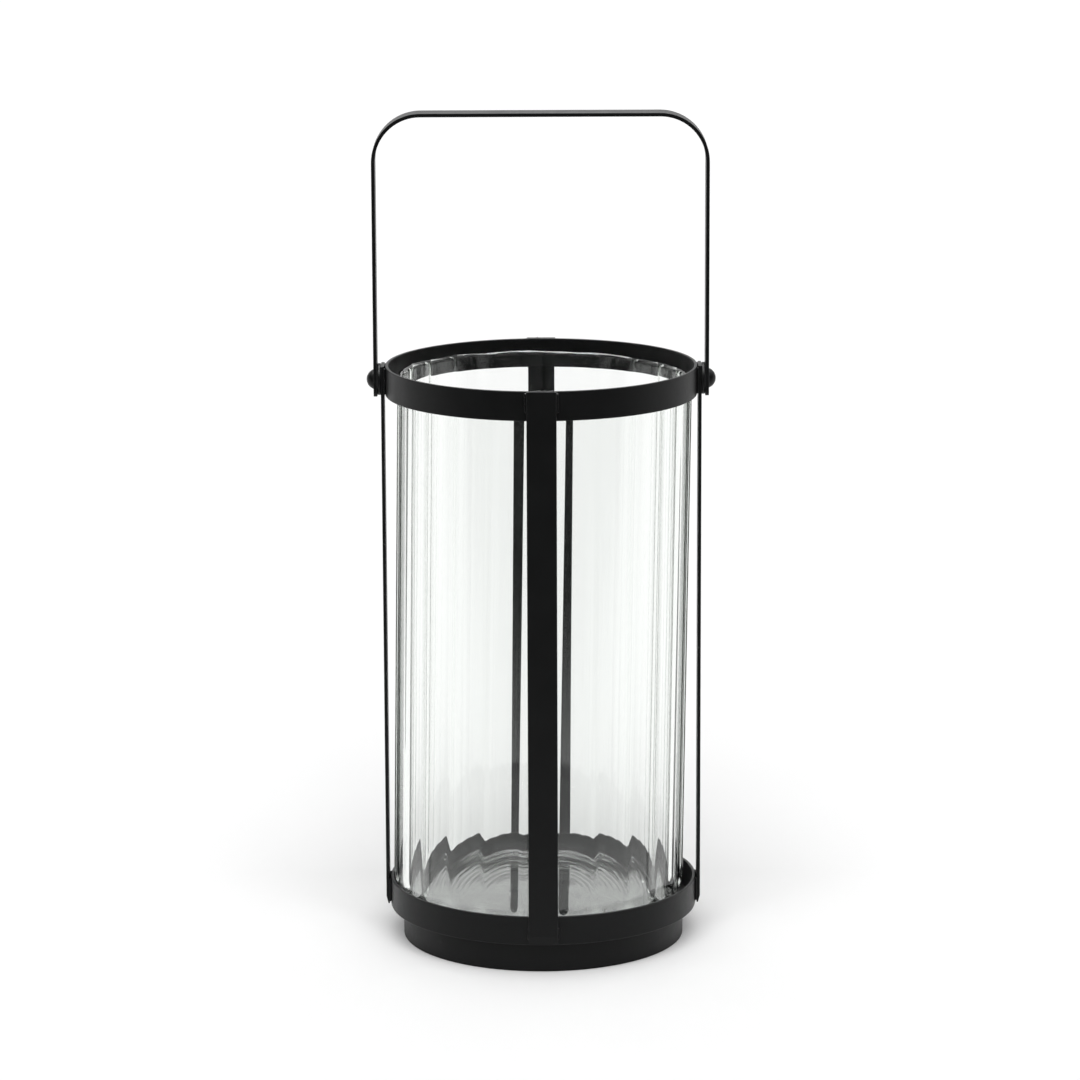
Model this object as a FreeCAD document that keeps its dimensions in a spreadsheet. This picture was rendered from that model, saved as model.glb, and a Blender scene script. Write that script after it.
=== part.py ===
import FreeCAD, Part
import math
import os
import Sketcher
from FreeCAD import Vector

# Hurricane candle lantern: a welded cage of flat steel strip, a loose fluted glass cylinder
# standing in its tray, and a strip bail that swings on two rivets.
# Millimetres. +Z is up, the origin is the centre of the foot's underside, the front is -Y.

SIZES = [
    ("strip_width", 15.0, "flat strip of the hoops, straps and bail"),
    ("hoop_thick", 1.6, "strip thickness of the three hoops"),
    ("edge_round", 0.4, "corners of the hoops, softened by the coating"),
    ("ring_radius", 80.0, "outside of the top ring"),
    ("ring_top", 302.0, "top edge of the top ring and straps"),
    ("band_radius", 79.8, "outside of the tray band"),
    ("band_low", 16.0, "lower edge of the tray band"),
    ("floor_thick", 1.2, "tray floor sheet"),
    ("foot_radius", 73.2, "outside of the foot ring"),
    ("strap_inner", 80.4, "centre line to the straps' inner faces"),
    ("strap_thick", 1.7, "strap strip thickness"),
    ("strap_low", 17.0, "lower end of the straps"),
    ("toe_rise", 4.0, "height of the bevel at a strap's lower end"),
    ("toe_flat", 0.7, "flat that is left under the bevel"),
    ("strap_round", 0.4, "long corners of the straps and bail"),
    ("pivot_height", 294.5, "rivet axis above the ground"),
    ("shank_radius", 2.5, "rivet shank"),
    ("head_radius", 5.1, "rivet dome"),
    ("dome_radius", 5.4, "ball that the dome is a slice of"),
    ("hole_play", 0.08, "radial play of the bail on the rivets"),
    ("side_play", 0.1, "end play beside each bail leg"),
    ("washer_radius", 8.2, "spacer washer"),
    ("washer_round", 0.5, "rounded rim of the washer"),
    ("bail_inner", 84.0, "centre line to the inner face of a bail leg"),
    ("bail_thick", 1.8, "bail strip thickness"),
    ("bail_top", 431.6, "top of the bail"),
    ("bail_corner", 25.0, "outside radius of the bail's bends"),
    ("bail_tail", 8.4, "bail leg below the rivet"),
    ("tail_corner", 3.5, "corners of the leg's lower end"),
    ("flutes", 24.0, "number of flutes round the glass"),
    ("cusp_radius", 76.2, "glass, centre line to the edge between two flutes"),
    ("flute_depth", 0.6, "hollow of a flute below its chord"),
    ("bore_radius", 72.3, "inside of the glass"),
    ("glass_tall", 278.0, "height of the glass"),
    ("base_thick", 3.2, "thickness of the glass bottom"),
    ("bore_corner", 4.0, "rounded inner corner at the bottom"),
    ("heel_start", 20.0, "height where the wall starts to turn in"),
    ("heel_wide", 40.0, "radius of the upper heel curve"),
    ("heel_join", 5.0, "height where the lower heel curve takes over"),
    ("rim_drop", 2.2, "fall of the rim's dome at its two ends"),
    ("rim_reach", 0.3, "how far those ends lie outside the wall"),
    ("glass_lean", 0.92, "lean of the loose glass towards +X, degrees"),
    ("lean_pivot", 31.0, "height at which the glass offset is given"),
    ("lean_offset", -2.5, "offset of the glass at that height"),
    ("foot_round", 66.0, "radius of the flat that the glass stands on"),
    ("bead_radius", 0.9, "weld beads beside the straps"),
    ("bead_run", 8.2, "length of those beads between the centres of their ends"),
    ("bead_gap", 3.2, "distance from those beads to the edge of the hoop"),
    ("top_bead", 0.6, "weld bead on the ring's top edge"),
    ("corner_leg", 2.4, "leg of the weld beads on the tray floor"),
    ("bead_fullness", 0.6, "how far the bead's crown stands out, as a part of its leg"),
    ("bead_angle", 16.0, "arc covered by one weld bead on the floor, degrees"),
]

SIDES = {"front": -90.0, "right": 0.0, "back": 90.0, "left": 180.0}
CLOSE = 0.01        # how near a found edge lies to its expected place
PARALLEL = 0.9      # cosine above which an edge counts as running along an axis
PAST = 1.0          # how far a cutting profile reaches past the glass

doc = FreeCAD.newDocument("hurricane_lantern")
sheet = doc.addObject("Spreadsheet::Sheet", "sizes")
for row, (alias, value, note) in enumerate(SIZES, start=1):
    sheet.set(f"A{row}", alias)
    sheet.set(f"B{row}", str(value))
    sheet.set(f"C{row}", note)
    sheet.setAlias(f"B{row}", alias)
doc.recompute()
nodes = []


def size(alias):
    return float(sheet.get(alias))


def new_body(label):
    body = doc.addObject("PartDesign::Body", label)
    body.Label = label
    nodes.append(body)
    return body


def place(body, position, axis=Vector(0, 0, 1), angle=0.0):
    body.Placement = FreeCAD.Placement(position, FreeCAD.Rotation(axis, angle))


def new_sketch(body, name, role):
    sketch = body.newObject("Sketcher::SketchObject", name)
    plane = next(item for item in body.Origin.OriginFeatures if item.Role == role)
    sketch.AttachmentSupport = [(plane, "")]
    sketch.MapMode = "FlatFace"
    return sketch


def bound(text):
    """Puts the sheet's name before each alias in an expression."""
    return " ".join(f"sizes.{word}" if word[0].isalpha() else word for word in text.split())


def value_of(text):
    """The same expression, a sum of sizes and numbers, as a number."""
    total = 0.0
    sign = 1.0
    for word in text.split():
        if word in "+-":
            sign = 1.0 if word == "+" else -1.0
        else:
            total += sign * (size(word) if word[0].isalpha() else float(word))
    return total


def drive(sketch, index, name, text):
    """Names a constraint and binds it to an expression."""
    sketch.renameConstraint(index, name)
    sketch.setExpression(f"Constraints.{name}", bound(text))


def pin_point(sketch, curve, end, label, x_text=None, y_text=None):
    """Ties a vertex of the sketch to the origin by driven distances."""
    for kind, text in (("DistanceX", x_text), ("DistanceY", y_text)):
        if text is not None:
            rule = Sketcher.Constraint(kind, -1, 1, curve, end, value_of(text))
            drive(sketch, sketch.addConstraint(rule), f"{label}_{kind[-1].lower()}", text)


def outline(sketch, corners):
    """Straight lines through the corners, each corner pinned by two expressions."""
    first = sketch.GeometryCount
    points = [Vector(value_of(x_text), value_of(y_text), 0) for x_text, y_text in corners]
    for start, end in zip(points, points[1:]):
        sketch.addGeometry(Part.LineSegment(start, end), False)
    last = sketch.GeometryCount - 1
    for curve in range(first, last):
        sketch.addConstraint(Sketcher.Constraint("Coincident", curve, 2, curve + 1, 1))
    for curve, (x_text, y_text) in enumerate(corners[:-1], start=first):
        pin_point(sketch, curve, 1, f"corner{curve}", x_text, y_text)
    pin_point(sketch, last, 2, "last", *corners[-1])
    return last


def rectangle(body, name, role, x_low, x_high, y_low, y_high):
    """A rectangle between four expressions of the sheet's names."""
    sketch = new_sketch(body, name, role)
    last = outline(sketch, [(x_low, y_low), (x_high, y_low), (x_high, y_high), (x_low, y_high)])
    start = Vector(value_of(x_low), value_of(y_high), 0)
    sketch.addGeometry(Part.LineSegment(start, Vector(value_of(x_low), value_of(y_low), 0)), False)
    sketch.addConstraint(Sketcher.Constraint("Coincident", last, 2, last + 1, 1))
    sketch.addConstraint(Sketcher.Constraint("Coincident", last + 1, 2, 0, 1))
    return sketch


def circle(body, name, role, radius, x_text="0", y_text="0"):
    """A circle whose radius and centre are expressions of the sheet's names."""
    sketch = new_sketch(body, name, role)
    centre = Vector(value_of(x_text), value_of(y_text), 0)
    sketch.addGeometry(Part.Circle(centre, Vector(0, 0, 1), value_of(radius)), False)
    rule = Sketcher.Constraint("Radius", 0, value_of(radius))
    drive(sketch, sketch.addConstraint(rule), "radius", radius)
    pin_point(sketch, 0, 3, "centre", x_text, y_text)
    return sketch


def pad(body, sketch, length, both_ways=False):
    feature = body.newObject("PartDesign::Pad", f"{sketch.Name}_pad")
    feature.Profile = sketch
    feature.setExpression("Length", bound(length))
    feature.Midplane = both_ways
    return feature


def pocket(body, sketch, both_ways=True):
    """Cuts the sketch through the body, both ways or upwards from its plane."""
    before = body.Shape.Volume
    feature = body.newObject("PartDesign::Pocket", f"{sketch.Name}_cut")
    feature.Profile = sketch
    feature.Type = "ThroughAll"
    feature.Midplane = both_ways
    feature.Reversed = not both_ways
    doc.recompute()
    if body.Shape.Volume >= before:
        raise RuntimeError(f"{body.Label}: {sketch.Name} cut nothing")
    return feature


def revolve(body, sketch, cut=False):
    """Turns the sketch about the sketch's own vertical axis."""
    before = body.Shape.Volume if cut else 0.0
    kind = "PartDesign::Groove" if cut else "PartDesign::Revolution"
    feature = body.newObject(kind, f"{sketch.Name}_turn")
    feature.Profile = sketch
    feature.ReferenceAxis = (sketch, ["V_Axis"])
    feature.Angle = 360.0
    if cut:
        doc.recompute()
        if body.Shape.Volume >= before:
            raise RuntimeError(f"{body.Label}: {sketch.Name} cut nothing")
    return feature


def fillet(body, base, edges, radius):
    feature = body.newObject("PartDesign::Fillet", f"{base.Name}_round")
    feature.Base = (base, edges)
    feature.setExpression("Radius", bound(radius))
    return feature


def edges_where(shape, test):
    return [f"Edge{index}" for index, edge in enumerate(shape.Edges, start=1) if test(edge)]


def is_full_circle(edge):
    return edge.isClosed() and hasattr(edge.Curve, "Radius")


# Hoops: strip rolled on the flat and closed with a butt weld.

def hoop(label, radius, low, high):
    body = new_body(label)
    sketch = rectangle(body, f"{label}_section", "XZ_Plane",
                       f"{radius} - hoop_thick", radius, low, high)
    turned = revolve(body, sketch)
    doc.recompute()
    fillet(body, turned, edges_where(turned.Shape, is_full_circle), "edge_round")
    doc.recompute()
    return body


def make_hoops():
    ring = hoop("top_ring", "ring_radius", "ring_top - strip_width", "ring_top")
    pocket(ring, circle(ring, "top_ring_hole", "YZ_Plane", "shank_radius", "0", "pivot_height"))
    hoop("tray_band", "band_radius", "band_low", "band_low + strip_width")
    hoop("foot_ring", "foot_radius", "0", "band_low")


def make_tray_floor():
    body = new_body("tray_floor")
    pad(body, circle(body, "tray_floor_disc", "XY_Plane", "band_radius - hoop_thick"),
        "floor_thick")
    place(body, Vector(0, 0, size("band_low")))


# Straps: drawn at +X and turned round the centre line to their side.

def strap(side):
    body = new_body(f"{side}_strap")
    profile = rectangle(body, f"{side}_strap_profile", "XZ_Plane",
                        "strap_inner", "strap_inner + strap_thick", "strap_low", "ring_top")
    bar = pad(body, profile, "strip_width", both_ways=True)
    doc.recompute()
    toe = bevel_toe(body, bar)
    fillet(body, toe, edges_where(toe.Shape, is_long_upright), "strap_round")
    doc.recompute()
    if side in ("left", "right"):
        pocket(body, circle(body, f"{side}_strap_hole", "YZ_Plane",
                            "shank_radius", "0", "pivot_height"))
    place(body, Vector(0, 0, 0), angle=SIDES[side])


def bevel_toe(body, bar):
    """Bevels the outer lower edge of a strap."""
    outer = value_of("strap_inner + strap_thick")
    bevel = body.newObject("PartDesign::Chamfer", f"{bar.Name}_toe")
    bevel.Base = (bar, edges_where(bar.Shape, lambda edge: is_across(edge, outer, size("strap_low"))))
    bevel.ChamferType = "Two distances"
    bevel.setExpression("Size", bound("strap_thick - toe_flat"))
    bevel.setExpression("Size2", bound("toe_rise"))
    doc.recompute()
    return bevel


def is_across(edge, x, z):
    """An edge along Y at this place in the XZ plane."""
    centre = edge.CenterOfMass
    along = abs(edge.tangentAt(edge.FirstParameter).y) > PARALLEL
    return along and abs(centre.x - x) < CLOSE and abs(centre.z - z) < CLOSE


def is_long_upright(edge):
    return abs(edge.tangentAt(edge.FirstParameter).z) > PARALLEL and edge.Length > size("strip_width")


# Pivots: a washer and a dome-head rivet on each side, mirrored by a half turn.

def make_washer(side):
    body = new_body(f"{side}_washer")
    section = rectangle(body, f"{side}_washer_section", "XZ_Plane",
                        "shank_radius", "washer_radius", "0",
                        "bail_inner - side_play - strap_inner - strap_thick")
    turned = revolve(body, section)
    doc.recompute()
    rim = edges_where(turned.Shape, lambda edge: is_full_circle(edge)
                      and abs(edge.Curve.Radius - size("washer_radius")) < CLOSE)
    fillet(body, turned, rim, "washer_round")
    set_on_pivot(body, side, value_of("strap_inner + strap_thick"))


def make_rivet(side):
    """A plain shank under a dome that is a slice of a ball centred on the axis."""
    body = new_body(f"{side}_rivet")
    head = "bail_inner + bail_thick + side_play - ring_radius + hoop_thick"
    sketch = new_sketch(body, f"{side}_rivet_section", "XZ_Plane")
    ball = size("dome_radius")
    wide = size("head_radius")
    sunk = math.sqrt(ball ** 2 - wide ** 2)
    top = Vector(0, value_of(head) - sunk + ball, 0)
    sketch.addGeometry(Part.LineSegment(top, Vector(0, 0, 0)), False)
    outline(sketch, [("0", "0"), ("shank_radius", "0"), ("shank_radius", head), ("head_radius", head)])
    tilt = (math.pi / 2 + math.asin(sunk / ball)) / 2
    middle = Vector(0, top.y - ball, 0) + Vector(math.cos(tilt), math.sin(tilt), 0) * ball
    sketch.addGeometry(Part.Arc(Vector(wide, value_of(head), 0), middle, top), False)
    for rule in (("Coincident", 0, 2, 1, 1), ("Coincident", 3, 2, 4, 1),
                 ("Coincident", 4, 2, 0, 1), ("PointOnObject", 4, 3, -2)):
        sketch.addConstraint(Sketcher.Constraint(*rule))
    drive(sketch, sketch.addConstraint(Sketcher.Constraint("Radius", 4, ball)), "ball", "dome_radius")
    pin_point(sketch, 0, 1, "crown", "0")
    revolve(body, sketch)
    set_on_pivot(body, side, value_of("ring_radius - hoop_thick"))


def set_on_pivot(body, side, distance):
    """Lays the body's own Z axis along the pivot, pointing outwards."""
    outward = 1.0 if side == "right" else -1.0
    place(body, Vector(outward * distance, 0, size("pivot_height")), Vector(0, 1, 0), outward * 90.0)


# Bail: one strip bent to a U, with a hole near the end of each leg.

def make_bail():
    body = new_body("bail_handle")
    low = "pivot_height - bail_tail"
    under_bar = "bail_top - bail_thick"
    pad(body, rectangle(body, "bail_outside", "XZ_Plane", "0 - bail_inner - bail_thick",
                        "bail_inner + bail_thick", low, "bail_top"), "strip_width", both_ways=True)
    doc.recompute()
    shape = pocket(body, rectangle(body, "bail_inside", "XZ_Plane", "0 - bail_inner", "bail_inner",
                                   f"{low} - bail_tail", under_bar))
    for height, radius in ((under_bar, "bail_corner - bail_thick"), ("bail_top", "bail_corner")):
        corners = edges_where(shape.Shape, lambda edge: is_bend(edge, value_of(height)))
        shape = fillet(body, shape, corners, radius)
        doc.recompute()
    tails = edges_where(shape.Shape, lambda edge: is_across_tail(edge, value_of(low)))
    fillet(body, shape, tails, "tail_corner")
    doc.recompute()
    pocket(body, circle(body, "bail_hole", "YZ_Plane",
                        "shank_radius + hole_play", "0", "pivot_height"))


def is_bend(edge, height):
    """A corner edge of the U, across the strip's width, at this height."""
    across = abs(edge.tangentAt(edge.FirstParameter).y) > PARALLEL
    return across and abs(edge.CenterOfMass.z - height) < CLOSE


def is_across_tail(edge, low):
    """The short edges along X at the leg's lower end, at the strip's two sides."""
    along = abs(edge.tangentAt(edge.FirstParameter).x) > PARALLEL
    return along and abs(edge.CenterOfMass.z - low) < CLOSE


# Glass: a fluted outline padded upwards, bored, and rounded at the heel and the rim.

def flute_arcs():
    """One arc per flute, between cusps that lie on the cusp circle."""
    count = int(size("flutes"))
    radius = size("cusp_radius")
    half = math.pi / count
    hollow = radius * math.cos(half) - size("flute_depth")
    arcs = []
    for index in range(count):
        middle = 2 * math.pi * index / count
        ends = [Vector(math.cos(a), math.sin(a), 0) * radius for a in (middle - half, middle + half)]
        arcs.append(Part.Arc(ends[0], Vector(math.cos(middle), math.sin(middle), 0) * hollow, ends[1]))
    return arcs


def heel_profile():
    """The outside of the heel: the region that is turned away from the padded outline."""
    wide = size("heel_wide")
    start = Vector(size("cusp_radius"), size("heel_start"), 0)
    centre = start - Vector(wide, 0, 0)
    join_angle = -math.asin((size("heel_start") - size("heel_join")) / wide)
    join = centre + Vector(math.cos(join_angle), math.sin(join_angle), 0) * wide
    middle = centre + Vector(math.cos(join_angle / 2), math.sin(join_angle / 2), 0) * wide
    small = join.y / (1 + math.sin(join_angle))
    low_centre = join - Vector(math.cos(join_angle), math.sin(join_angle), 0) * small
    foot = Vector(low_centre.x, 0, 0)
    low_angle = (join_angle - math.pi / 2) / 2
    low_middle = low_centre + Vector(math.cos(low_angle), math.sin(low_angle), 0) * small
    far = start.x + PAST
    return [Part.Arc(start, middle, join),
            Part.Arc(join, low_middle, foot),
            Part.LineSegment(foot, Vector(foot.x, -PAST, 0)),
            Part.LineSegment(Vector(foot.x, -PAST, 0), Vector(far, -PAST, 0)),
            Part.LineSegment(Vector(far, -PAST, 0), Vector(far, start.y, 0)),
            Part.LineSegment(Vector(far, start.y, 0), start)]


def rim_profile():
    """The region above the fire-polished rim, whose section is a low dome."""
    inside = size("bore_radius") - size("rim_reach")
    outside = size("cusp_radius") + size("rim_reach")
    top = size("glass_tall")
    side = top - size("rim_drop")
    above = top + PAST
    return [Part.Arc(Vector(inside, side, 0), Vector((inside + outside) / 2, top, 0),
                     Vector(outside, side, 0)),
            Part.LineSegment(Vector(outside, side, 0), Vector(outside, above, 0)),
            Part.LineSegment(Vector(outside, above, 0), Vector(inside, above, 0)),
            Part.LineSegment(Vector(inside, above, 0), Vector(inside, side, 0))]


def bore_glass(body):
    """Bores the glass down to its thick bottom and rounds the inner corner."""
    mouth = circle(body, "glass_bore", "XY_Plane", "bore_radius")
    mouth.setExpression("AttachmentOffset.Base.z", bound("base_thick"))
    doc.recompute()
    bore = pocket(body, mouth, both_ways=False)
    corner = edges_where(bore.Shape, lambda edge: is_full_circle(edge)
                         and abs(edge.CenterOfMass.z - size("base_thick")) < CLOSE)
    fillet(body, bore, corner, "bore_corner")
    doc.recompute()


def make_glass():
    body = new_body("glass_cylinder")
    fluted = new_sketch(body, "glass_outline", "XY_Plane")
    for arc in flute_arcs():
        fluted.addGeometry(arc, False)
    pad(body, fluted, "glass_tall")
    doc.recompute()
    bore_glass(body)
    for name, profile in (("glass_heel", heel_profile), ("glass_rim", rim_profile)):
        sketch = new_sketch(body, name, "XZ_Plane")
        for item in profile():
            sketch.addGeometry(item, False)
        revolve(body, sketch, cut=True)
    lean = math.radians(size("glass_lean"))
    stands_on = size("band_low") + size("floor_thick")
    base = Vector(0, 0, stands_on + size("foot_round") * math.sin(lean))
    base.x = size("lean_offset") - (size("lean_pivot") - base.z) * math.tan(lean)
    place(body, base, Vector(0, 1, 0), size("glass_lean"))


# Weld metal: short beads, trimmed to the steel that they join.

def capsule(start, end, radius):
    """A rod with ball ends."""
    axis = end - start
    rod = Part.makeCylinder(radius, axis.Length, start, axis)
    for point in (start, end):
        rod = rod.fuse(Part.makeSphere(radius, point))
    return rod.removeSplitter()


def corner_bead(wall, height, rise):
    """A bent bead in the corner between a hoop's inner wall and a flat sheet, centred on +X."""
    leg = size("corner_leg")
    angle = size("bead_angle")
    corner = Vector(wall, 0, height)
    inward = corner - Vector(leg, 0, 0)
    along = corner + Vector(0, 0, rise * leg)
    crown = corner + Vector(-leg, 0, rise * leg) * size("bead_fullness")
    edges = [Part.LineSegment(corner, inward).toShape(),
             Part.Arc(inward, crown, along).toShape(),
             Part.LineSegment(along, corner).toShape()]
    bead = Part.Face(Part.Wire(edges)).revolve(Vector(0, 0, 0), Vector(0, 0, 1), angle)
    bead.rotate(Vector(0, 0, 0), Vector(0, 0, 1), -angle / 2)
    return bead


def strap_block():
    """The strap at +X as a plain block, to trim the beads."""
    width = size("strip_width")
    return Part.makeBox(size("strap_thick"), width, size("ring_top") - size("strap_low"),
                        Vector(size("strap_inner"), -width / 2, size("strap_low")))


def side_beads(hoop_radius, low, high):
    """The two upright beads between a strap's edges and the hoop behind it."""
    hoop_solid = Part.makeCylinder(hoop_radius, size("ring_top"))
    offset = size("strip_width") / 2 + size("bead_radius") / 3
    depth = math.sqrt(hoop_radius ** 2 - offset ** 2) + size("bead_radius") / 2
    beads = []
    for side in (1, -1):
        rod = capsule(Vector(depth, side * offset, low), Vector(depth, side * offset, high),
                      size("bead_radius"))
        beads.append(rod.cut(hoop_solid).cut(strap_block()))
    return beads


def top_beads():
    """The bead that closes the seam between the ring's top edge and the strap's end."""
    reach = size("strip_width") / 2 - size("top_bead")
    height = size("ring_top")
    depth = size("strap_inner")
    rod = capsule(Vector(depth, -reach, height), Vector(depth, reach, height), size("top_bead"))
    ring = Part.makeCylinder(size("ring_radius"), height)
    return [rod.cut(ring).cut(strap_block())]


def floor_beads():
    """Joins the tray floor to the band, above the floor."""
    return [corner_bead(size("band_radius") - size("hoop_thick"),
                        size("band_low") + size("floor_thick"), 1)]


def foot_beads():
    """Joins the foot ring to the tray floor, below the floor."""
    return [corner_bead(size("foot_radius") - size("hoop_thick"), size("band_low"), -1)]


def weld_group(label, beads):
    """Repeats the beads at the four straps and keeps them as separate solids."""
    solids = []
    for angle in SIDES.values():
        for bead in beads:
            for solid in bead.Solids:
                copy = solid.copy()
                copy.rotate(Vector(0, 0, 0), Vector(0, 0, 1), angle)
                solids.append(copy)
    feature = doc.addObject("Part::Feature", label)
    feature.Label = label
    feature.Shape = Part.makeCompound(solids)
    feature.Placement = FreeCAD.Placement()
    nodes.append(feature)


def make_welds():
    high = size("ring_top") - size("bead_gap")
    weld_group("ring_welds",
               side_beads(size("ring_radius"), high - size("bead_run"), high) + top_beads())
    low = size("band_low") + size("bead_gap")
    weld_group("band_welds", side_beads(size("band_radius"), low, low + size("bead_run")))
    weld_group("floor_welds", floor_beads())
    weld_group("foot_welds", foot_beads())


def check_document():
    doc.recompute()
    for item in doc.Objects:
        if "Invalid" in item.State or "Error" in item.State:
            raise RuntimeError(f"{item.Label} failed: {item.State}")
    for node in nodes:
        if node.Shape.isNull() or not node.Shape.isValid():
            raise RuntimeError(f"{node.Label} has no valid shape")


def write_parts():
    os.makedirs("parts", exist_ok=True)
    for node in nodes:
        node.Shape.exportStep(f"parts/{node.Label}.step")
        box = node.Shape.optimalBoundingBox(True, False)
        print(f"{node.Label}: {len(node.Shape.Solids)} solid(s), {node.Shape.Volume:.0f} mm3, "
              f"z {box.ZMin:.2f} to {box.ZMax:.2f}")


make_hoops()
make_tray_floor()
for side_name in SIDES:
    strap(side_name)
for side_name in ("left", "right"):
    make_washer(side_name)
    make_rivet(side_name)
make_bail()
make_glass()
make_welds()
check_document()
write_parts()
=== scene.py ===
import math

import bmesh
import bpy
from mathutils import Euler, Matrix, Vector, noise


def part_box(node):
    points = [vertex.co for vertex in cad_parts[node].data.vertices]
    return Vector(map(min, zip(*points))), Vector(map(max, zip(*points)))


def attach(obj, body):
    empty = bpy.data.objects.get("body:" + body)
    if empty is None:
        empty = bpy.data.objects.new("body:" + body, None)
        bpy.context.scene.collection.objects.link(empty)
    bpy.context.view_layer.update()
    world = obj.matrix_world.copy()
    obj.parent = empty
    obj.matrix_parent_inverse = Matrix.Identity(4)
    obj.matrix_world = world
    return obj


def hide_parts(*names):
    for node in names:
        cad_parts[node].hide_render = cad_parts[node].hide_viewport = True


# The looks of the lantern: materials for every part, fine meshes for the fluted glass and the
# visible weld beads, and a white photo studio. Lengths are metres, written as millimetres
# times MM where they are small.

MM = 0.001

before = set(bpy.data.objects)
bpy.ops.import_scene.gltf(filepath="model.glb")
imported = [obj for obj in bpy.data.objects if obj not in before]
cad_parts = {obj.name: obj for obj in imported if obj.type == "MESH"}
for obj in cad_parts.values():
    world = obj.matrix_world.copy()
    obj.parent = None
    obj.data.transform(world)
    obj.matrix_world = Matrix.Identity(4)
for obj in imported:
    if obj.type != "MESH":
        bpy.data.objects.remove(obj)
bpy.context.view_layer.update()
scene = bpy.context.scene
scene.view_settings.view_transform = "Standard"
scene.view_settings.look = "None"
scene.cycles.max_bounces = 20
scene.cycles.transmission_bounces = 20
scene.cycles.glossy_bounces = 8
scene.cycles.sample_clamp_indirect = 6.0


# ---------------------------------------------------------------- node helpers

class Tree:
    """Short calls for building one node tree."""

    def __init__(self, tree):
        self.tree = tree
        tree.nodes.clear()

    def fill(self, socket, value):
        """Links a node's output to the socket, or writes a plain value into it."""
        if isinstance(value, bpy.types.NodeSocket):
            self.tree.links.new(value, socket)
        else:
            socket.default_value = value

    def add(self, kind, settings=None, **inputs):
        """A new node. An input's name has _ for each space."""
        node = self.tree.nodes.new(kind)
        for name, value in (settings or {}).items():
            setattr(node, name, value)
        for name, value in inputs.items():
            self.fill(node.inputs[name.replace("_", " ")], value)
        return node

    def pair(self, kind, operation, first, second):
        node = self.add(kind, {"operation": operation})
        self.fill(node.inputs[0], first)
        self.fill(node.inputs[1], second)
        return node

    def math(self, operation, first, second=0.0):
        return self.pair("ShaderNodeMath", operation, first, second).outputs[0]

    def times(self, first, second):
        return self.math("MULTIPLY", first, second)

    def plus(self, first, second):
        return self.math("ADD", first, second)

    def minus(self, first, second):
        return self.math("SUBTRACT", first, second)

    def dot(self, first, second):
        return self.pair("ShaderNodeVectorMath", "DOT_PRODUCT", first, second).outputs["Value"]

    def pattern(self, place, scale, detail, **more):
        """A noise whose features are about 1 / scale across."""
        node = self.add("ShaderNodeTexNoise", Vector=place, Scale=scale, Detail=detail, **more)
        return node.outputs["Fac"]

    def ramp(self, factor, *stops):
        """A colour ramp of two stops, each a place from 0 to 1 and a colour."""
        node = self.add("ShaderNodeValToRGB", Fac=factor)
        for element, (place, colour) in zip(node.color_ramp.elements, stops):
            element.position = place
            element.color = (*colour, 1.0)
        return node.outputs[0]

    def blend(self, share, first, second):
        """The first colour, turning to the second as the share goes from 0 to 1."""
        node = self.add("ShaderNodeMix", {"data_type": "RGBA"})
        for index, value in ((0, share), (6, first), (7, second)):
            self.fill(node.inputs[index], value)
        return node.outputs[2]

    def spread(self, factor, low_in, high_in, low_out, high_out, smooth=False):
        """The factor's range stretched to another one, and held at its ends."""
        node = self.add("ShaderNodeMapRange", Value=factor, From_Min=low_in, From_Max=high_in,
                        To_Min=low_out, To_Max=high_out)
        if smooth:
            node.interpolation_type = "SMOOTHSTEP"
        return node.outputs[0]


def new_material(name):
    material = bpy.data.materials.new(name)
    material.use_nodes = True
    return material, Tree(material.node_tree)


# ---------------------------------------------------------------- steel

BLACK = (0.0042, 0.0044, 0.0045)
# Lighter grey of the edges, part wear and part painted highlight.
WEAR_AND_SHEEN_GREY = (0.06, 0.062, 0.065)
MOTTLE, PEEL, GRAIN = 70.0, 420.0, 1500.0       # noise scales of the powder coat, per metre
PEEL_HEIGHT = 0.12 * MM
EDGE_REACH = 0.7 * MM                           # how far the lighter edge, part wear and part painted highlight, goes in from an edge
SHINE = 0.16


def worn_and_sheened_edge(t, mottle):
    """1 along sharp edges, where a rounded normal leaves the true one, and 0 on the flats. There
    the coat turns lighter: part wear, part painted highlight.
    """
    rounded = t.add("ShaderNodeBevel", {"samples": 4}, Radius=EDGE_REACH).outputs[0]
    true = t.add("ShaderNodeNewGeometry").outputs["Normal"]
    edge = t.spread(t.dot(rounded, true), 0.99, 0.86, 0.0, 1.0)
    return t.times(edge, t.spread(mottle, 0.4, 0.62, 0.2, 1.0))


def coated_steel(name, roughness, peel, wear_and_sheen):
    """Black powder coat: orange peel, faint mottling, and lighter edges that are part wear and
    part painted highlight.
    """
    material, t = new_material(name)
    place = t.add("ShaderNodeTexCoord").outputs["Object"]
    mottle = t.pattern(place, MOTTLE, 4.0, Roughness=0.6)
    waves = t.pattern(place, PEEL, 1.0)
    grain = t.pattern(place, GRAIN, 2.0)
    base = t.ramp(mottle, (0.3, BLACK), (0.7, [part * 1.15 for part in BLACK]))
    # The edges turn lighter here: part wear, part painted highlight.
    colour = t.blend(t.times(worn_and_sheened_edge(t, mottle), wear_and_sheen), base, (*WEAR_AND_SHEEN_GREY, 1.0))
    rough = t.plus(t.spread(mottle, 0.3, 0.7, roughness - 0.03, roughness + 0.04),
                   t.spread(grain, 0.3, 0.7, -0.03, 0.03))
    height = t.plus(t.times(waves, 0.7), t.times(grain, 0.3))
    bump = t.add("ShaderNodeBump", Strength=peel, Distance=PEEL_HEIGHT, Height=height)
    shader = t.add("ShaderNodeBsdfPrincipled", Base_Color=colour, Roughness=rough,
                   Normal=bump.outputs[0], Specular_IOR_Level=SHINE)
    t.add("ShaderNodeOutputMaterial", Surface=shader.outputs[0])
    return material


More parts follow.
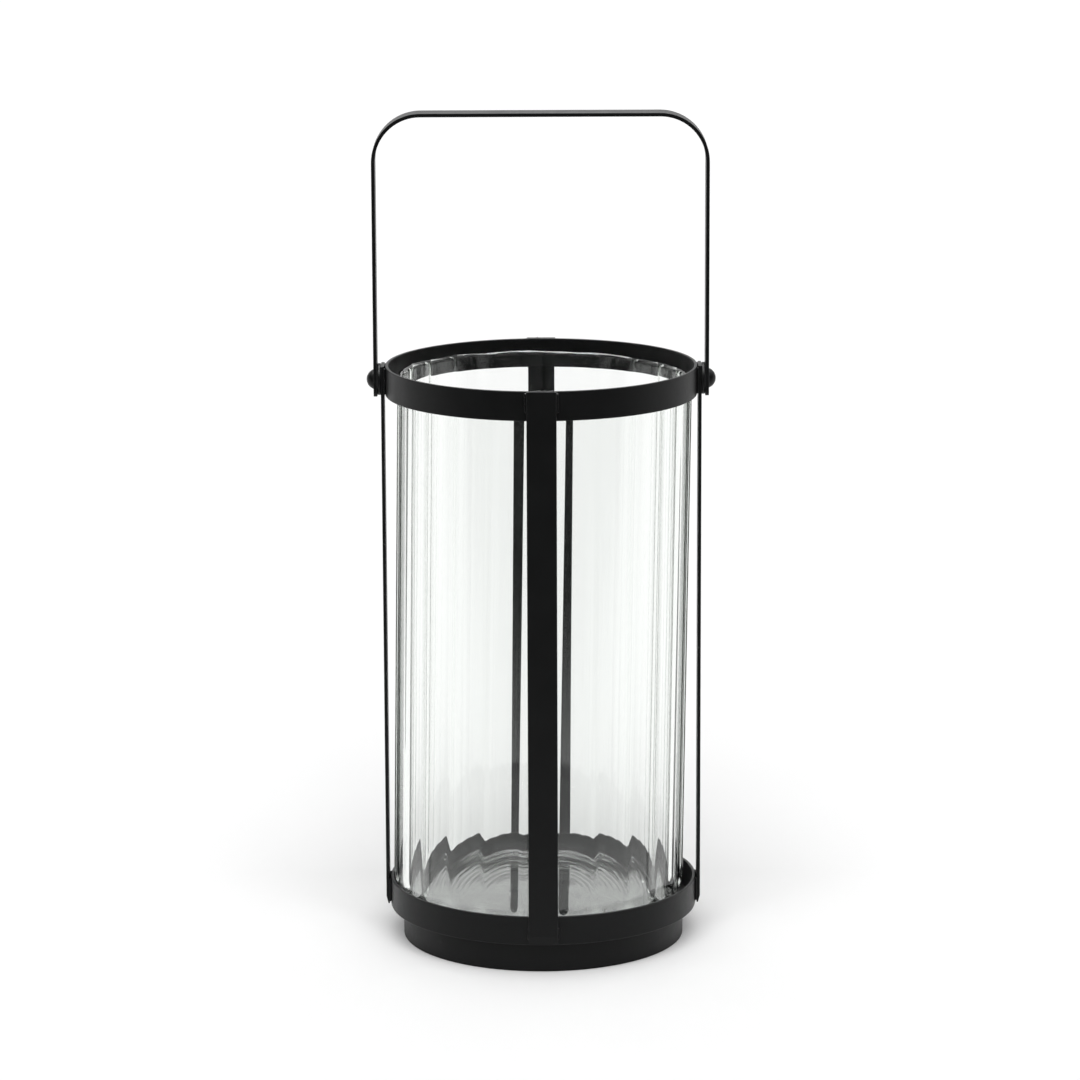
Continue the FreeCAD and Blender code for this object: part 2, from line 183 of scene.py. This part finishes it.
frame_coat = coated_steel("frame_coat", 0.42, 0.35, 0.5)
bail_coat = coated_steel("bail_coat", 0.40, 0.3, 0.5)
rivet_coat = coated_steel("rivet_coat", 0.34, 0.3, 0.6)
weld_coat = coated_steel("weld_coat", 0.3, 0.5, 0.4)

# A node's coat goes by the last word of its name.
COATS = {"rivet": rivet_coat, "washer": rivet_coat, "handle": bail_coat, "welds": weld_coat}
for node_name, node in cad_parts.items():
    node.data.materials.clear()
    node.data.materials.append(COATS.get(node_name.split("_")[-1], frame_coat))


# ---------------------------------------------------------------- meshes

def join_rings(build, rings):
    """Faces between each closed ring of points and the next."""
    for lower, upper in zip(rings, rings[1:]):
        for k in range(len(lower)):
            build.faces.new((lower[k - 1], lower[k], upper[k], upper[k - 1]))


def close_pole(build, pole, ring):
    for k, vert in enumerate(ring):
        build.faces.new((pole, vert, ring[k - 1]))


def finished_mesh(build, name, material):
    """A mesh with smooth faces that point outwards."""
    for face in build.faces:
        face.smooth = True
    bmesh.ops.recalc_face_normals(build, faces=build.faces)
    mesh = bpy.data.meshes.new(name)
    build.to_mesh(mesh)
    build.free()
    mesh.materials.append(material)
    return mesh


def new_piece(mesh, body, node_name):
    """The object for this mesh, which rides on the body and stands for the CAD node."""
    piece = bpy.data.objects.new(mesh.name, mesh)
    scene.collection.objects.link(piece)
    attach(piece, body)
    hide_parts(node_name)
    return piece


# ---------------------------------------------------------------- the glass

FLUTES = 24
CUSP = 76.2 * MM                    # centre line to the edge between two flutes
FLUTE_DEPTH = 0.42 * MM             # hollow of a flute below its chord
RIB = 0.08 * MM                     # how far those edges stand above the flutes
RIB_WIDTH = 1.5 * MM
SOFTENING = math.radians(0.4)       # step between the five places that round an edge
HEEL_START = 20.0 * MM              # height where the wall starts to turn in
HEEL_WIDE = 40.0 * MM               # radius of the upper heel curve
HEEL_JOIN = 5.0 * MM                # height where the lower heel curve takes over
HEEL_BLEND = 0.5 * MM
BORE = 72.3 * MM
TALL = 278.0 * MM
RIM = 2.6 * MM                      # height of the rounded rim
WALL_TOP = TALL - RIM
BASE = 3.2 * MM                     # thickness of the bottom
CORNER = 4.0 * MM                   # radius of the inner corner
PUSH_UP = 0.9 * MM                  # hollow in the middle of the underside
FOOT_ROUND = 66.0 * MM              # radius of the flat that the glass stands on
LEAN = math.radians(0.92)
LEAN_PIVOT = 31.0 * MM              # height at which the glass's offset is given
LEAN_OFFSET = -2.5 * MM

COLUMNS_IN_FLUTE = 32
CROWDING = 0.65                     # how much closer the columns are near an edge
FLAT_ROWS, HEEL_ROWS, WALL_ROWS, RIM_ROWS, CORNER_ROWS = 72, 16, 46, 14, 9
WALL_START = 22.0 * MM              # height above which the rows are evenly spaced


def clear_glass():
    """Fire-polished soda glass: a faint green body, and slight drag lines down the wall."""
    material, t = new_material("clear_glass")
    place = t.add("ShaderNodeTexCoord").outputs["Object"]
    drawn_out = t.add("ShaderNodeMapping", Vector=place, Scale=(1.0, 1.0, 0.03)).outputs[0]
    lines = t.pattern(drawn_out, 260.0, 2.0)
    cloud = t.pattern(place, 45.0, 2.0)
    height = t.plus(t.times(lines, 0.7), t.times(cloud, 0.3))
    bump = t.add("ShaderNodeBump", Strength=0.002, Distance=0.2 * MM, Height=height)
    smudge = t.spread(cloud, 0.35, 0.75, 0.0, 0.012)
    shader = t.add("ShaderNodeBsdfPrincipled", Base_Color=(0.985, 0.991, 0.987, 1.0),
                   Roughness=smudge, IOR=1.5, Normal=bump.outputs[0], Transmission_Weight=1.0)
    body = t.add("ShaderNodeVolumeAbsorption", Color=(0.70, 0.88, 0.69, 1.0), Density=10.0)
    t.add("ShaderNodeOutputMaterial", Surface=shader.outputs[0], Volume=body.outputs[0])
    return material


def wall_radius(angle):
    """Outside of the glass at this angle: shallow flutes that meet in low narrow ribs."""
    half = math.pi / FLUTES
    offset = (angle + half) % (2 * half) - half
    corner = CUSP - RIB
    chord = corner * math.cos(half)
    half_width = corner * math.sin(half)
    bow = (half_width ** 2 + FLUTE_DEPTH ** 2) / (2 * FLUTE_DEPTH)
    centre = chord - FLUTE_DEPTH + bow
    hollow = centre * math.cos(offset) - math.sqrt(bow ** 2 - (centre * math.sin(offset)) ** 2)
    from_edge = (half - abs(offset)) * corner
    return hollow + RIB * math.exp(-(from_edge / RIB_WIDTH) ** 2)


def softened_radius(angle):
    """The wall's radius averaged over a small arc, which rounds the edges between the flutes."""
    total = sum(wall_radius(angle + SOFTENING * k) for k in (-2, -1, 0, 1, 2))
    return total / 5


def heel_radius(height):
    """Outside of the heel: a wide curve above and a small one below."""
    slope = math.asin((HEEL_START - HEEL_JOIN) / HEEL_WIDE)
    small = HEEL_JOIN / (1 - math.sin(slope))
    if height >= HEEL_JOIN:
        drop = max(HEEL_START - height, 0.0)
        return CUSP - HEEL_WIDE + math.sqrt(HEEL_WIDE ** 2 - drop ** 2)
    centre = CUSP - HEEL_WIDE + (HEEL_WIDE - small) * math.cos(slope)
    return centre + math.sqrt(max(small ** 2 - (small - height) ** 2, 0.0))


def outer_radius(angle, height):
    """The smaller of wall and heel, blended where the two are nearly equal."""
    wall, heel = softened_radius(angle), heel_radius(height)
    gap = max(HEEL_BLEND - abs(wall - heel), 0.0)
    return min(wall, heel) - gap * gap / (4 * HEEL_BLEND)


def ripple(angle, height, scale, seed):
    """A slow unevenness within -1 to 1, closed round the glass. The seed picks its pattern."""
    around = Vector((math.cos(angle), math.sin(angle), 0.0)) * scale
    return noise.noise(Vector((around.x + seed, around.y, height * 4.0 + seed)))


def ring_waves(angle, radius, height, length, seed):
    """Chill waves round the bottom, strongest near its edge and a little broken."""
    bend = 1.6 * ripple(angle, radius * 9.0, 2.2, seed)
    rise = min(max((radius - 22.0 * MM) / (30.0 * MM), 0.0), 1.0)
    fall = min(max((70.0 * MM - radius) / (4.0 * MM), 0.0), 1.0)
    strength = rise * fall * (0.75 + 0.6 * ripple(angle, radius * 5.0, 4.5, seed + 3.0))
    return height * strength * math.sin(2 * math.pi * radius / length + bend)


# The six surfaces of the glass. Each gives the radius and height of a point, from its place
# along the surface and its angle.

def underside(share, angle):
    foot = heel_radius(0.0)
    radius = foot * share
    to_edge = min((foot - radius) / (6.0 * MM), 1.0)
    waves = ring_waves(angle, radius, 0.09 * MM, 6.2 * MM, 5.5) * to_edge
    return radius, PUSH_UP * (1 - share ** 2) ** 2 + waves


def outside(height, angle):
    return outer_radius(angle, height) + 0.05 * MM * ripple(angle, height, 3.0, 1.3), height


def rim(share, angle):
    """Half a turn from the outside over a slightly wavy crest to the bore."""
    turn = math.pi * share
    outer = softened_radius(angle)
    slow, quick = ripple(angle, 0.0, 3.4, 7.7), ripple(angle, 0.0, 11.0, 3.2)
    crest = RIM + 0.5 * MM * slow + 0.25 * MM * quick
    radius = (outer + BORE) / 2 + (outer - BORE) / 2 * math.cos(turn)
    return radius, WALL_TOP + crest * math.sin(turn) ** 0.8


def inside(height, angle):
    return BORE - 0.06 * MM * (1 + ripple(angle, height, 6.0, 4.1)), height


def inner_corner(turn, angle):
    return BORE - CORNER + CORNER * math.cos(turn), BASE + CORNER - CORNER * math.sin(turn)


def inner_floor(share, angle):
    radius = (BORE - CORNER) * share
    swell = 0.35 * MM * (1 - share) * (0.4 + ripple(angle, share, 1.2, 2.9))
    return radius, BASE + swell + ring_waves(angle, radius, 0.06 * MM, 7.0 * MM, 9.1)


def evenly(start, end, count, first=1):
    """Places from start to end in even steps. The start is left out unless first is 0."""
    return [start + (end - start) * k / count for k in range(first, count + 1)]


def glass_rows():
    """The rows of points, each a surface and a place along it: out along the underside, up
    the outside, over the rim, down the bore and in along the floor."""
    lower_heel = [HEEL_JOIN * (1 - math.cos(turn))
                  for turn in evenly(0.0, math.pi / 2, HEEL_ROWS, first=0)]
    stretches = [
        (underside, evenly(0.0, 1.0, FLAT_ROWS)[:-1]),
        (outside, lower_heel),
        (outside, evenly(HEEL_JOIN, WALL_START, HEEL_ROWS)),
        (outside, evenly(WALL_START, WALL_TOP, WALL_ROWS)),
        (rim, evenly(0.0, 1.0, RIM_ROWS)[:-1]),
        (inside, evenly(WALL_TOP, BASE + CORNER, WALL_ROWS, first=0)),
        (inner_corner, evenly(0.0, math.pi / 2, CORNER_ROWS)),
        (inner_floor, evenly(1.0, 0.0, FLAT_ROWS)[:-1])]
    return [(surface, place) for surface, places in stretches for place in places]


def column_angles():
    """The columns round the glass, closer together at the edges between the flutes."""
    half = math.pi / FLUTES
    angles = []
    for flute in range(FLUTES):
        for k in range(COLUMNS_IN_FLUTE):
            even = 2 * k / COLUMNS_IN_FLUTE - 1
            crowded = math.sin(math.pi / 2 * even)
            angles.append(2 * half * flute + half * ((1 - CROWDING) * even + CROWDING * crowded))
    return angles


def glass_vert(build, surface, place, angle):
    radius, height = surface(place, angle)
    return build.verts.new((radius * math.cos(angle), radius * math.sin(angle), height))


def glass_seat():
    """The loose glass stands on one side of its foot and leans towards +X."""
    tray_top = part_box("tray_floor")[1].z
    lift = tray_top + FOOT_ROUND * math.sin(LEAN)
    shift = LEAN_OFFSET - (LEAN_PIVOT - lift) * math.tan(LEAN)
    return Matrix.Translation((shift, 0.0, lift)) @ Matrix.Rotation(LEAN, 4, "Y")


def make_glass():
    build = bmesh.new()
    angles = column_angles()
    under_middle = glass_vert(build, underside, 0.0, 0.0)
    rings = [[glass_vert(build, surface, place, angle) for angle in angles]
             for surface, place in glass_rows()]
    floor_middle = glass_vert(build, inner_floor, 0.0, 0.0)
    close_pole(build, under_middle, rings[0])
    join_rings(build, rings)
    close_pole(build, floor_middle, rings[-1][::-1])
    mesh = finished_mesh(build, "fluted_glass", clear_glass())
    mesh.transform(glass_seat())
    glass = new_piece(mesh, "glass", "glass_cylinder")
    glass.visible_shadow = False


make_glass()


# ---------------------------------------------------------------- the welds

TURNS = {"front": 0, "right": 90, "back": 180, "left": 270}
BEAD_ROWS, BEAD_SIDES = 26, 12
BEAD_TIP = 0.02 * MM                            # least radius, at the two ends of a bead
LUMP, SWAY, CHIP = 900.0, 500.0, 1500.0         # noise scales along a bead, per metre
PUDDLE = 5200.0                                 # the even ripples, in radians per metre


def bead(build, start, end, radius, lumpiness, seed):
    """A hand-laid weld: a lumpy rod with round ends, a little off its line."""
    along = end - start
    length = along.length
    along.normalize()
    across = along.orthogonal().normalized()
    third = along.cross(across)
    rings = []
    for k in range(BEAD_ROWS + 1):
        reach = length * k / BEAD_ROWS
        from_end = min(reach, length - reach)
        round_off = math.sqrt(max(1 - max(1 - from_end / radius, 0.0) ** 2, 0.0))
        lump = noise.noise(Vector((reach * LUMP + seed * 13.1, seed * 7.7, 0.3)))
        puddle = 0.12 * math.sin(reach * PUDDLE + seed)
        thick = radius * round_off * (1 + lumpiness * lump + puddle) + BEAD_TIP
        sway = 0.25 * radius * noise.noise(Vector((seed * 3.1, reach * SWAY, 1.7)))
        centre = start + along * reach + across * sway
        ring = []
        for side in range(BEAD_SIDES):
            turn = 2 * math.pi * side / BEAD_SIDES
            chip = 1 + 0.15 * noise.noise(Vector((turn, reach * CHIP, seed * 2.3)))
            outwards = across * math.cos(turn) + third * math.sin(turn)
            ring.append(build.verts.new(centre + outwards * thick * chip))
        rings.append(ring)
    join_rings(build, rings)
    build.faces.new(rings[0][::-1])
    build.faces.new(rings[-1])


def weld_piece(name, node_name, beads):
    """Each bead is start, end, radius, lumpiness and side. Its points are those of a bead at
    the front, and it is turned to its own side of the cage."""
    build = bmesh.new()
    for seed, (start, end, radius, lumpiness, side) in enumerate(beads, start=1):
        to_side = Matrix.Rotation(math.radians(TURNS[side]), 3, "Z")
        bead(build, to_side @ Vector(start), to_side @ Vector(end), radius, lumpiness, seed)
    new_piece(finished_mesh(build, name, weld_coat), "frame", node_name)


def make_ring_welds():
    """A bead down each edge of a strap where it crosses the ring, and one along its top."""
    ring_low, ring_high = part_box("top_ring")
    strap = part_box("front_strap")[1]
    edge, face = strap.x + 0.3 * MM, strap.y + 0.3 * MM
    top = ring_high.z - 0.3 * MM
    heavy, light = (4.0 * MM, 0.5, 0.82 * MM), (0.6 * MM, 0.15, 0.62 * MM)
    beads = []
    for side, top_half, top_radius, (rise, lumpiness, radius) in (
            ("front", 6.6 * MM, 0.7 * MM, heavy), ("right", 2.5 * MM, 0.3 * MM, light),
            ("back", 2.6 * MM, 0.6 * MM, heavy), ("left", 2.5 * MM, 0.3 * MM, light)):
        for x in (-edge, edge):
            beads.append(((x, face, ring_low.z + rise), (x, face, ring_high.z - 0.5 * MM),
                          radius, lumpiness, side))
        beads.append(((-top_half, strap.y - 0.1 * MM, top), (top_half, strap.y, top),
                      top_radius, 0.7, side))
    weld_piece("ring_weld_beads", "ring_welds", beads)


def make_band_welds():
    """A bead down each edge of a strap where it crosses the tray band."""
    band_low, band_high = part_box("tray_band")
    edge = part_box("front_strap")[1].x + 0.1 * MM
    face = band_low.y - 0.15 * MM
    short = (band_low.z + 3.0 * MM, band_low.z + 9.0 * MM)
    full = (band_low.z + 1.9 * MM, band_high.z - 0.6 * MM)
    beads = []
    for side, (low, high) in (("front", short), ("right", full), ("back", short), ("left", full)):
        for x in (-edge, edge):
            beads.append(((x, face, low), (x, face, high), 0.6 * MM, 0.25, side))
    weld_piece("band_weld_beads", "band_welds", beads)


make_ring_welds()
make_band_welds()


# ---------------------------------------------------------------- studio

FLOOR_RADIUS = 60.0
PAPER = 0.9                     # mean reflectance of the floor
SHADOW = 0.33                   # what the painted shadow takes away at its darkest
CEILING = 0.8                   # brightness of the room above
FRONT_WALL, BACK_WALL = 0.07, 1.02
SOFTBOX = 13.0                  # brightness of the one overhead, which only shiny surfaces show
SIDE_WHITE = 0.88               # brightness of the white seen through the glass at the sides
LAMP = 2.1


def painted_shadow(t, side, away):
    """The share of light that is left. It stands in for the glass's own soft shadow: a bell
    across the floor that starts under the object and fades with distance."""
    bell = t.math("EXPONENT", t.times(t.times(side, side), -68.0))
    behind = t.math("MAXIMUM", t.minus(away, 0.11), 0.0)
    fade = t.math("EXPONENT", t.times(behind, -6.0))
    start = t.spread(away, -0.03, 0.11, 0.0, SHADOW, smooth=True)
    return t.minus(1.0, t.times(t.times(bell, fade), start))


def white_floor():
    """White paper with a painted shadow under the object. Where a shiny surface mirrors it,
    painted shade makes its part near the camera dark.
    """
    material, t = new_material("studio_floor")
    place = t.add("ShaderNodeTexCoord").outputs["Object"]
    side, away, _ = t.add("ShaderNodeSeparateXYZ", Vector=place).outputs
    paper = t.spread(t.pattern(place, 9.0, 3.0), 0.3, 0.7, PAPER - 0.005, PAPER + 0.005)
    # Painted shade seen only in reflections: towards the camera the mirrored floor falls to 0.05
    # of its tone.
    mirrored = t.math("GREATER_THAN", t.add("ShaderNodeLightPath").outputs["Glossy Depth"], 0.5)
    lit = t.spread(away, -0.75, -0.12, 0.05, 1.0, smooth=True)
    share = t.plus(t.times(mirrored, lit), t.minus(1.0, mirrored))
    tone = t.times(share, t.times(painted_shadow(t, side, away), paper))
    shader = t.add("ShaderNodeBsdfPrincipled", Base_Color=tone, Roughness=0.9,
                   Specular_IOR_Level=0.0)
    t.add("ShaderNodeOutputMaterial", Surface=shader.outputs[0])
    return material


def make_floor():
    mesh = bpy.data.meshes.new("studio_floor")
    build = bmesh.new()
    bmesh.ops.create_circle(build, cap_ends=True, segments=96, radius=FLOOR_RADIUS)
    build.to_mesh(mesh)
    build.free()
    floor = bpy.data.objects.new("studio_floor", mesh)
    scene.collection.objects.link(floor)
    floor.location.z = -0.1 * MM
    mesh.materials.append(white_floor())


def room(t, x, y, z, glossy):
    """Brightness of the room: pale behind the object, dim on the camera's side, lit above."""
    flat = t.math("SQRT", t.plus(t.times(x, x), t.times(y, y)))
    heading = t.math("DIVIDE", y, t.math("MAXIMUM", flat, 0.001))
    back = t.spread(heading, 0.0, 0.85, 0.0, 1.0, smooth=True)
    wall = t.plus(t.times(back, BACK_WALL - FRONT_WALL), FRONT_WALL)
    up = t.spread(z, 0.35, 0.8, 0.0, 1.0, smooth=True)
    walls_and_ceiling = t.plus(t.times(wall, t.minus(1.0, up)), t.times(up, CEILING))
    softbox = t.times(glossy, t.spread(z, 0.76, 0.92, 0.0, SOFTBOX, smooth=True))
    return t.plus(walls_and_ceiling, softbox)


def make_world():
    """The room lights the object, but the camera sees plain white, also through the glass."""
    world = bpy.data.worlds.new("studio")
    scene.world = world
    world.use_nodes = True
    t = Tree(world.node_tree)
    way = t.add("ShaderNodeTexCoord").outputs["Generated"]
    x, y, z = t.add("ShaderNodeSeparateXYZ", Vector=way).outputs
    path = t.add("ShaderNodeLightPath").outputs
    unmirrored = t.math("LESS_THAN", path["Glossy Depth"], 0.5)
    through = t.times(path["Is Transmission Ray"], unmirrored)
    sides = t.spread(t.math("ABSOLUTE", x), 0.0, 0.13, 1.0, SIDE_WHITE)
    seen = t.math("MAXIMUM", path["Is Camera Ray"], t.times(through, sides))
    unseen = t.minus(1.0, t.math("MAXIMUM", path["Is Camera Ray"], through))
    level = t.plus(seen, t.times(unseen, room(t, x, y, z, path["Is Glossy Ray"])))
    light = t.add("ShaderNodeBackground", Color=(1.0, 1.0, 1.0, 1.0), Strength=level)
    t.add("ShaderNodeOutputWorld", Surface=light.outputs[0])


def make_lamp():
    """A wide soft light above the camera, which sends the object's shadow backwards."""
    data = bpy.data.lights.new("softbox", "SUN")
    data.angle = math.radians(55.0)
    data.energy = LAMP
    lamp = bpy.data.objects.new("softbox", data)
    scene.collection.objects.link(lamp)
    lamp.rotation_euler.x = math.radians(42.0)
    lamp.visible_glossy = False
    lamp.visible_transmission = False


def make_camera():
    """The photograph's view: from the front and a little above, through a long lens."""
    data = bpy.data.cameras.new("camera")
    data.sensor_width = 36.0
    data.lens = 150.438
    data.clip_end = 200.0
    camera = bpy.data.objects.new("camera", data)
    scene.collection.objects.link(camera)
    place = Vector((-0.00116, -2.28053, 0.69922))
    tilt, roll, heading = (math.radians(angle) for angle in (77.8854, 0.221, -0.0527))
    camera.matrix_world = Matrix.LocRotScale(place, Euler((tilt, roll, heading)), None)
    scene.camera = camera


make_floor()
make_world()
make_lamp()
make_camera()
